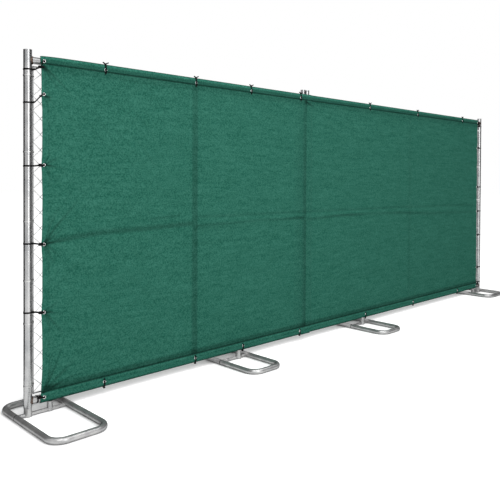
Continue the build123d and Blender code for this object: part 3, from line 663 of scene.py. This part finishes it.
def fold(x, z, places, width):
    """Strength of a fold over the cloth: that of its places along its line, and less beside it."""
    found = np.zeros_like(x)
    for start, end in zip(places, places[1:]):
        way = np.subtract(end, start)
        length = way[0] ** 2 + way[1] ** 2
        along = np.clip(((x - start[0]) * way[0] + (z - start[1]) * way[1]) / length, 0, 1)
        distance = np.hypot(x - start[0] - along * way[0], z - start[1] - along * way[1])
        found = np.maximum(found, np.exp(-(distance / width) ** 2) * (start[2] + along * way[2]))
    return found


def creases(along, z):
    """Rise of all the folds and ridges, and how much lighter they make the cloth: painted shade in the folds
    and painted light on the ridges.
    """
    total = np.zeros_like(along)
    painted_shading = np.zeros_like(along)
    folds = [*LEVEL_FOLDS, *SLACK_FOLDS, EDGE_FOLD_SHADE, *pulled_folds()]
    for group, sign in ((folds, -1), (RIDGES, 1)):
        for width, rise, places in group:
            strength = fold(along, z, places, width)
            total += rise * strength
            painted_shading += sign * strength
    return total, painted_shading


def fan(x, z, centre, size, reach, rays, phase):
    """Wrinkles that spread out from a pulled point."""
    across, up = x - centre[0], z - centre[1]
    distance = np.hypot(across, up)
    angle = np.arctan2(up, across)
    rise = smooth_step(distance, 0.012, 0.04)
    return size * rise * np.exp(-distance / reach) * np.sin(rays * angle + phase)


def fans(x, z):
    """Fine wrinkles round the eyelets of both sides, of the left corners and of the top."""
    found = np.zeros_like(x)
    for height in LEFT_EDGE_HEIGHTS:
        found += fan(x, z, (left_eyelet_x, height), size=0.0012, reach=0.10, rays=9, phase=height * 7)
    found += fan(x, z, (left_eyelet_x, BOTTOM_Z), size=0.0016, reach=0.15, rays=14, phase=1.0)
    found += fan(x, z, (left_eyelet_x, TOP_Z), size=0.0014, reach=0.12, rays=12, phase=2.0)
    for height in RIGHT_EDGE_HEIGHTS:
        found += fan(x, z, (right_eyelet_x, height), size=0.0014, reach=0.10, rays=9, phase=height * 5)
    for place in left_top_x + right_top_x:
        found += fan(x, z, (place, TOP_Z), size=0.0018, reach=0.10, rays=10, phase=place * 9)
    return found


def waves(x, z):
    """Slow unevenness of the cloth: long level waves, then slanting ones."""
    found = np.zeros_like(x)
    for _ in range(16):
        long, short = random.uniform(0.5, 1.6), random.uniform(0.10, 0.35)
        phase = random.uniform(0, 6.28, 2)
        level = np.sin(2 * np.pi * x / long + phase[0]) * np.sin(2 * np.pi * z / short + phase[1])
        found += LEVEL_WAVE * level
    for _ in range(12):
        long, short = random.uniform(0.18, 0.5), random.uniform(0.18, 0.5)
        phase = random.uniform(0, 6.28, 2)
        found += SLANTING_WAVE * np.sin(2 * np.pi * (x / long + z / short) + phase[0])
    return found


def brace_ridges(x):
    """Slight rise of the cloth over the two braces."""
    braces = (LEFT_BRACE_X, RIGHT_BRACE_X)
    return sum(BRACE_RISE * np.exp(-((x - brace) / BRACE_WIDTH) ** 2) for brace in braces)


def hem_painted_shading(z):
    """How much darker the cloth is along its two hems, which are doubled, sewn and rolled round the rails:
    painted shade under the roll, at the seams and at the bottom edge, and painted light on a few lines
    between.
    """
    below, above = TOP_SEAM_Z - z, z - BOTTOM_SEAM_Z
    painted_shading = sum(dark * np.exp(-((z - height) / width) ** 2) for height, width, dark in HEM_SHADING_LINES)
    # Painted shade on the top hem's band, under the top seam, over the bottom seam and under the bottom edge
    top_hem = between(z, TOP_SEAM_Z - 0.002, TOP_SEAM_Z + 0.004, TOP_Z + 0.008, TOP_Z + 0.017)
    under_top = smooth_step(below, 0.004, 0.010) * np.exp(-np.maximum(below, 0) / 0.045)
    over_bottom = 0.36 * (1 - smooth_step(above, 0.018, 0.040)) + 0.04 * np.exp(-above / 0.1)
    bottom_edge = 1 - smooth_step(z, BOTTOM_Z - 0.0205, BOTTOM_Z - 0.0165)
    painted_shading += 0.30 * top_hem + 0.16 * under_top + 0.58 * bottom_edge
    return painted_shading + smooth_step(above, -0.002, 0.003) * over_bottom


def band(x, low, high, low_dark, high_dark):
    """Darkness of one band, from one end to the other."""
    share = np.clip((x - low) / (high - low), 0, 1)
    inside = between(x, low - 0.005, low + 0.005, high - 0.004, high + 0.004)
    return (low_dark + share * (high_dark - low_dark)) * inside


def tube_tone(x, z):
    """How much darker the cloth is in front of the tubes, less so towards its top."""
    return sum(band(x, *places) for places in TUBE_BANDS) * (1 - 0.35 * smooth_step(z, 1.3, 1.75))


def wire_painted_shade(along, z):
    """How much darker the cloth is where the mesh's wires press on it, mostly near the left post: painted
    shade along the wires' lines.
    """
    found = np.zeros_like(along)
    for slope in (1, -1):
        turn = (along / MESH_PITCH + slope * z / MESH_RISE) / 2
        distance = (turn - np.round(turn)) * 2 * MESH_PITCH
        found = np.maximum(found, np.exp(-(distance / 0.006) ** 2))
    return found * (0.05 * (1 - smooth_step(along, 0.8, 1.3)) + 0.012)


def screen_grid():
    """Points of the plain cloth, in rows and columns that are closer where it is creased, tied or at the
    hinge.
    """
    row_y, row_z = profile()
    tied = {round(x, 4) for x, z in eyelets}
    bent = {RIGHT_INNER_X - BEND_LINES, RIGHT_INNER_X + BEND_LINES}
    centres = sorted(tied | bent)
    columns = np.concatenate([
        lines(SCREEN_LEFT, SCREEN_LEFT + EDGE_ZONE, EDGE_STEP, centres),
        lines(SCREEN_LEFT + EDGE_ZONE + NEAR_STEP, SCREEN_LEFT + NEAR_ZONE, NEAR_STEP, centres),
        lines(SCREEN_LEFT + NEAR_ZONE + FAR_STEP, SCREEN_RIGHT, FAR_STEP, centres),
    ])
    x, z = np.meshgrid(columns, row_z)
    return x, np.repeat(row_y[:, None], len(columns), axis=1), z


def settle(x, y, z):
    """Depth of the cloth once it lies flat over the joint's bands and under each eyelet."""
    near = 1 - smooth_step(abs(x - JOINT_X), JOINT_FLAT, JOINT_FADE)
    squeezed = JOINT_Y + JOINT_SQUEEZE * (y - JOINT_MIDDLE_Y)
    y = np.minimum(y, y + near * (squeezed - y))
    for place, height in eyelets:
        under = 1 - smooth_step(np.hypot(x - place, z - height), EYELET_FLAT, EYELET_FADE)
        y = y + (eyelet_y(height) + EYELET_SINK - y) * under
    return y


def build_screen():
    """The whole screen as one cloth: its points, and the painted shade and painted light at each of them."""
    x, y, z = screen_grid()
    along = x - LEFT_POST_X
    clear = between(z, BOTTOM_Z + HEM_CLEAR, BOTTOM_Z + HEM_FADE, TOP_Z - HEM_FADE, TOP_Z - HEM_CLEAR)
    sewn = between(z, BOTTOM_SEAM_Z - SEAM_FADE, BOTTOM_SEAM_Z + SEAM_FADE,
                   TOP_SEAM_Z - SEAM_FADE, TOP_SEAM_Z + SEAM_FADE)
    # Besides their rise, the folds give painted shade and the ridges give painted light
    rise, light = creases(along, z)
    y = y - sewn * rise - clear * (fans(x, z) + waves(x, z) + brace_ridges(x))
    y = settle(x, y, z)
    # Painted shade along the hems, in the folds and in front of the tubes and wires, and painted light on the
    # ridges
    painted_shading = 1 - hem_painted_shading(z) + sewn * (light - tube_tone(x, z) - wire_painted_shade(along, z))
    painted_shading = np.maximum(painted_shading, 0.25)
    drop = CORNER_DROP * np.exp(-(x - SCREEN_LEFT) / CORNER_REACH)
    z = z - drop * smooth_step(z, TOP_Z + 0.006, TOP_Z + 0.02)
    left = np.clip(1 - (x - SCREEN_LEFT) / DRAW_REACH, 0, 1)
    x = x + drawn_in(z, LEFT_EDGE_HEIGHTS, LEFT_EDGE_DRAW) * left
    right = np.clip(1 - (SCREEN_RIGHT - x) / DRAW_REACH, 0, 1)
    x = x - drawn_in(z, RIGHT_EDGE_HEIGHTS, RIGHT_EDGE_DRAW) * right
    return x, y, z, painted_shading


def cloth_mesh(name, x, y, z, painted_shading):
    """Mesh of the cloth's grid, open inside each eyelet."""
    rows, columns = x.shape
    points = np.stack([x, y, z], -1).reshape(-1, 3)
    covered = np.zeros(x.shape, bool)
    for place, height in eyelets:
        covered |= np.hypot(x - place, z - height) < EYELET_CUT
    index = np.arange(rows * columns).reshape(rows, columns)
    corners = [index[:-1, :-1], index[:-1, 1:], index[1:, 1:], index[1:, :-1]]
    hidden = covered[:-1, :-1] & covered[:-1, 1:] & covered[1:, 1:] & covered[1:, :-1]
    faces = np.stack(corners, -1)[~hidden]
    cloth = Builder()
    cloth.points = points.tolist()
    cloth.faces = faces.tolist()
    piece = cloth.piece(name, finishes["screen"], 180)
    values = piece.data.attributes.new("painted_shading", "FLOAT", "POINT")
    values.data.foreach_set("value", painted_shading.reshape(-1).astype(np.float32))
    return piece


screen = cloth_mesh("privacy_screen", *build_screen())
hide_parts("left_screen", "joint_screen_strip", "right_screen")
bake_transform(screen)


# Eyelets
def eyelet(builder, x, y, z):
    """Rolled metal ring, with its front at -Y."""
    middle_r, half = (EYELET_BORE + EYELET_R) / 2, (EYELET_R - EYELET_BORE) / 2
    arch = [math.pi * k / 7 for k in range(8)]
    outline = [(middle_r - half * math.cos(a), EYELET_HEIGHT * math.sin(a)) for a in arch]
    sides = 32
    sections = []
    for k in range(sides):
        angle = 2 * math.pi * k / sides
        cosine, sine = math.cos(angle), math.sin(angle)
        sections.append([Vector((x + r * cosine, y - d, z + r * sine)) for r, d in outline])
    builder.add(*swept(sections, closed=True))


for side, places in (("left", left_eyelets), ("right", right_eyelets)):
    rings = Builder()
    for place, height in places:
        eyelet(rings, place, eyelet_y(height), height)
    piece = rings.piece(side + "_eyelets", finishes["eyelet"])
    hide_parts(side + "_grommets")
    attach(piece, side + "_panel")


# Cable ties: sizes of their heads and of the strap doubled in an eyelet, in metres
RAIL_HEAD = (0.0110, 0.0090, 0.0070)
SMALL_KNOT = (0.0130, 0.0080, 0.0095)
EDGE_KNOT = (0.0235, 0.0090, 0.0150)
CORNER_KNOT = (0.0300, 0.0080, 0.0120)
END_KNOT = (0.0160, 0.0080, 0.0160)
EYELET_BEND = (0.0094, 0.0044, 0.0094)
TAIL_WIDTH = 0.0058
TAIL_DEPTH = 0.0060
TAIL_LENGTHS = ((1, 0.022), (-1, 0.018))
TAIL_TILT = 64
BARE_RAIL_R = 0.0186


def rail_tie(builder, x, rail_z, up):
    """Tie over an eyelet and round a rail, through the cloth at the seam, with its head on the hem's edge."""
    high = TOP_FOLD + 0.0012 if up > 0 else 0.0252
    over = ((0.0, high - 0.010), (-0.0130, high), (-0.0182, high - 0.0020))
    front = ((-0.0215, 0.0170), (-0.0234, 0.0098), (-0.0236, 0.0), (-0.0234, -0.0165))
    under = ((-0.0192, -0.0205), (-0.0182, -0.0225), (-0.0145, -0.0255), (0.0, -0.0220))
    back = ((0.0142, -0.0160), (0.0195, 0.0), (0.0140, 0.0158))
    path = [Vector((x, y, rail_z + up * z)) for y, z in over + front + under + back]
    builder.add(*strap(path, Vector((1, 0, 0)), RAIL_TIE_WIDTH, TIE_THICKNESS, closed=True))
    head = Vector((x, -0.0165, rail_z + up * (high + 0.0008)))
    builder.add(*block(head, RAIL_HEAD))
    if up < 0:
        return
    for side, length in TAIL_LENGTHS:
        tilt = side * math.radians(TAIL_TILT)
        lift = Vector((math.sin(tilt), 0, math.cos(tilt))) * length / 2
        builder.add(*block(head + lift, (TAIL_WIDTH, TAIL_DEPTH, length), tilt))


def bend_in_eyelet(builder, hole):
    """Doubled strap where a tie turns in an eyelet's hole."""
    builder.add(*block(hole + Vector((0, -0.0004, 0)), EYELET_BEND))


def post_tie(builder, post_x, inward, post_z, knot_z, hole_z, hole_y, knot_size):
    """Tie round an outer post and through an eyelet, with its head at the screen's edge."""
    radius = POST_R + 0.0010
    hole = Vector((post_x + inward * (POST_R + EYELET_POST_GAP), hole_y, hole_z))
    knot = Vector((post_x + inward * (POST_R + KNOT_POST_GAP), hole_y - 0.0046, knot_z))
    turn_z = 0.9 * post_z + 0.1 * knot_z
    path = [hole + Vector((0, 0.0030, 0)), knot + Vector((0, 0.0060, 0))]
    path.append(Vector((post_x + inward * 0.0300, -0.0155, turn_z)))
    for k in range(19):
        angle = math.radians(5 + 15 * k)
        path.append(Vector((post_x + inward * radius * math.cos(angle), radius * math.sin(angle), post_z)))
    path += [Vector((post_x + inward * 0.0280, -0.0195, turn_z)), knot]
    path.append(hole + Vector((-inward * 0.0085, -0.0029, 0)))
    path.append(hole + Vector((-inward * 0.0020, -0.0024, 0)))
    builder.add(*strap(path, Vector((0, 0, 1)), POST_TIE_WIDTH, TIE_THICKNESS, closed=True))
    builder.add(*block(knot, knot_size))
    bend_in_eyelet(builder, hole)


def end_rail_tie(builder, x, rail_z):
    """Tie through the corner eyelet and round the bare end of a rail, with its head at the screen's edge."""
    hole = Vector((x, HEM_EYELET_Y, rail_z + BOTTOM_EYELET_RISE))
    turn_x = SCREEN_LEFT - 0.0045
    ring = [2 * math.pi * k / 24 for k in range(24)]
    path = [Vector((turn_x, -BARE_RAIL_R * math.cos(a), rail_z + BARE_RAIL_R * math.sin(a))) for a in ring]
    builder.add(*strap(path, Vector((1, 0, 0)), POST_TIE_WIDTH, TIE_THICKNESS, closed=True))
    over = [Vector((turn_x, -0.0215, rail_z + 0.010)), hole + Vector((-0.010, -0.0028, 0.002)),
            hole + Vector((0, -0.0020, 0))]
    builder.add(*strap(over, Vector((0, 0, 1)), POST_TIE_WIDTH, TIE_THICKNESS))
    builder.add(*block(Vector((SCREEN_LEFT + 0.003, -0.0245, rail_z + 0.014)), END_KNOT))
    bend_in_eyelet(builder, hole)


def finish_ties(builder, node, body):
    """Makes one group of ties from its builder, in place of its node."""
    piece = builder.piece(node + "_nylon", finishes["cable_tie"], 30)
    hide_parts(node)
    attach(piece, body)


rail_groups = (
    ("left_top_ties", left_top_x, TOP_Z, 1, "left_panel"),
    ("left_bottom_ties", left_bottom_x, BOTTOM_Z, -1, "left_panel"),
    ("right_top_ties", right_top_x, TOP_Z, 1, "right_panel"),
    ("right_bottom_ties", right_bottom_x, BOTTOM_Z, -1, "right_panel"),
)
for node, places, rail_z, up, body in rail_groups:
    ties = Builder()
    for place in places:
        rail_tie(ties, place, rail_z, up)
    if node == "left_bottom_ties":
        end_rail_tie(ties, left_eyelet_x, rail_z)
    finish_ties(ties, node, body)

# Heights of each tie at the post, at its knot and at its eyelet
left_post_heights = tuple(zip((1.567, 1.253, 0.866, 0.523), (1.603, 1.257, 0.860, 0.516), LEFT_EDGE_HEIGHTS))
right_post_heights = tuple((z, z, z) for z in RIGHT_EDGE_HEIGHTS)
left_corners = ((1.731, 1.748, TOP_Z),)
right_corners = ((1.745, 1.756, TOP_Z), (0.118, 0.100, BOTTOM_EYELET_Z))
post_groups = (
    ("left_post_ties", LEFT_POST_X, 1, left_post_heights, left_corners, "left_panel"),
    ("right_post_ties", RIGHT_POST_X, -1, right_post_heights, right_corners, "right_panel"),
)
for node, post_x, inward, heights, corners, body in post_groups:
    ties = Builder()
    for post_z, knot_z, hole_z in heights:
        knot_size = EDGE_KNOT if abs(knot_z - post_z) < 0.01 else SMALL_KNOT
        post_tie(ties, post_x, inward, post_z, knot_z, hole_z, EDGE_EYELET_Y, knot_size)
    for post_z, knot_z, hole_z in corners:
        post_tie(ties, post_x, inward, post_z, knot_z, hole_z, HEM_EYELET_Y, CORNER_KNOT)
    finish_ties(ties, node, body)


# Floor, light and camera
def background_share(tree, share):
    """The share for rays that see the background, and none for the light that falls on the object."""
    path = tree.nodes.new("ShaderNodeLightPath")
    total = path.outputs["Is Camera Ray"]
    for kind in ("Is Glossy Ray", "Is Transmission Ray"):
        join = tree.nodes.new("ShaderNodeMath")
        join.operation = "MAXIMUM"
        tree.links.new(total, join.inputs[0])
        tree.links.new(path.outputs[kind], join.inputs[1])
        total = join.outputs["Value"]
    return spread(tree, total, 0, share, 0, 1)


FLOOR_REACH = 40
FLOOR_GLOW = 0.66
SHADE_GLOW = 0.05
SHADE_REACH = 0.45
SHADE_FACING = (0, -0.8, 0.6)
CONTACT_REACH = 0.035


def open_sky(tree, reach, facing=(0, 0, 1)):
    """How little of the object stands within reach of a place on the floor, on the side faced."""
    side = tree.nodes.new("ShaderNodeCombineXYZ")
    for axis, part in enumerate(facing):
        side.inputs[axis].default_value = part
    near = tree.nodes.new("ShaderNodeAmbientOcclusion")
    near.inputs["Distance"].default_value = reach
    tree.links.new(side.outputs["Vector"], near.inputs["Normal"])
    return near.outputs["AO"]


def pale_floor():
    """Floor that glows white to the camera, less behind the fence and under its tubes, where shadows show."""
    finish, tree, shader = material("pale floor")
    mottle = spread(tree, noise(tree, 0.4, 2), 0, 1)
    colour = two_colours(tree, mottle, (0.88, 0.88, 0.88), (0.92, 0.92, 0.92))
    tree.links.new(colour, shader.inputs["Base Color"])
    shader.inputs["Roughness"].default_value = 0.9
    shader.inputs["Specular IOR Level"].default_value = 0.0
    shader.inputs["Emission Color"].default_value = (1, 1, 1, 1)
    # The glow drops by how much of the object is near, behind the fence and round its tubes: painted shadow
    # on top of the real one
    behind = open_sky(tree, SHADE_REACH, SHADE_FACING)
    glow = background_share(tree, 1)
    for share in (spread(tree, behind, SHADE_GLOW, FLOOR_GLOW, 0.55, 0.85), open_sky(tree, CONTACT_REACH)):
        product = tree.nodes.new("ShaderNodeMath")
        product.operation = "MULTIPLY"
        tree.links.new(glow, product.inputs[0])
        tree.links.new(share, product.inputs[1])
        glow = product.outputs["Value"]
    tree.links.new(glow, shader.inputs["Emission Strength"])
    return finish


floor_mesh = bpy.data.meshes.new("floor")
floor_corners = [(x * FLOOR_REACH, y * FLOOR_REACH, 0) for x, y in ((-1, -1), (1, -1), (1, 1), (-1, 1))]
floor_mesh.from_pydata(floor_corners, [], [(0, 1, 2, 3)])
floor_mesh.materials.append(pale_floor())
floor = bpy.data.objects.new("floor", floor_mesh)
bpy.context.scene.collection.objects.link(floor)


def area_light(name, place, target, width, height, power):
    """Soft panel of light aimed at a point."""
    light = bpy.data.lights.new(name, "AREA")
    light.shape = "RECTANGLE"
    light.size = width
    light.size_y = height
    light.energy = power
    lamp = bpy.data.objects.new(name, light)
    bpy.context.scene.collection.objects.link(lamp)
    lamp.location = place
    lamp.rotation_euler = (Vector(target) - Vector(place)).to_track_quat("-Z", "Y").to_euler()


def black_card(name, start, end, height, finish):
    """Upright card beside the fence that only reflections see, for the dark edges of the tubes."""
    mesh = bpy.data.meshes.new(name)
    mesh.from_pydata([(*start, 0), (*end, 0), (*end, height), (*start, height)], [], [(0, 1, 2, 3)])
    mesh.materials.append(finish)
    card = bpy.data.objects.new(name, mesh)
    bpy.context.scene.collection.objects.link(card)
    card.visible_camera = False
    card.visible_diffuse = False
    card.visible_transmission = False
    card.visible_shadow = False


card_finish = plastic("black card", (0.01, 0.01, 0.01), (0.02, 0.02, 0.02), rough=0.9)
black_card("left card", start=(-3.25, 0.20), end=(-1.90, 0.74), height=3.0, finish=card_finish)
black_card("middle card", start=(-1.915, -0.594), end=(-1.66, -0.11), height=3.0, finish=card_finish)
black_card("right card", start=(4.5, -8.6), end=(4.5, -0.4), height=4.0, finish=card_finish)

area_light("key light", (-4.2, -3.6, 4.4), target=(-1.2, 0, 0.9), width=2.5, height=2.5, power=110)
area_light("front strip", (-2.2, -6.0, 2.3), target=(-1.2, 0, 1.0), width=1.2, height=4.0, power=110)
area_light("overhead strip", (0.2, -2.2, 4.2), target=(0.2, -0.6, 0), width=6.0, height=0.8, power=70)

world = bpy.data.worlds.new("studio")
bpy.context.scene.world = world
world.use_nodes = True
world_tree = world.node_tree
dome = world_tree.nodes["Background"]
dome.inputs["Color"].default_value = (1, 1, 1, 1)
dome.inputs["Strength"].default_value = 0.52
white = world_tree.nodes.new("ShaderNodeBackground")
white.inputs["Color"].default_value = (1, 1, 1, 1)
white.inputs["Strength"].default_value = 1.0
shown = world_tree.nodes.new("ShaderNodeMixShader")
world_tree.links.new(background_share(world_tree, 1), shown.inputs["Fac"])
world_tree.links.new(dome.outputs["Background"], shown.inputs[1])
world_tree.links.new(white.outputs["Background"], shown.inputs[2])
world_tree.links.new(shown.outputs["Shader"], world_tree.nodes["World Output"].inputs["Surface"])

# Camera fitted to the posts, rails and stands in the photograph, with its angles in degrees
CAMERA_YAW = 45.868
CAMERA_DIP = 0.780
CAMERA_ROLL = 0.259
camera = bpy.data.cameras.new("photo camera")
camera.sensor_width = 36
camera.lens = 44.112
camera.shift_x = 0.0008
camera.shift_y = -0.12814
eye = bpy.data.objects.new("photo camera", camera)
bpy.context.scene.collection.objects.link(eye)
eye.location = (LEFT_POST_X - 1.3288, -2.9538, 1.1996)
aim = Euler((math.radians(90 - CAMERA_DIP), 0, math.radians(CAMERA_YAW - 90))).to_matrix()
eye.rotation_euler = (aim @ Euler((0, 0, math.radians(CAMERA_ROLL))).to_matrix()).to_euler()
bpy.context.scene.camera = eye
bpy.context.scene.view_settings.view_transform = "Standard"
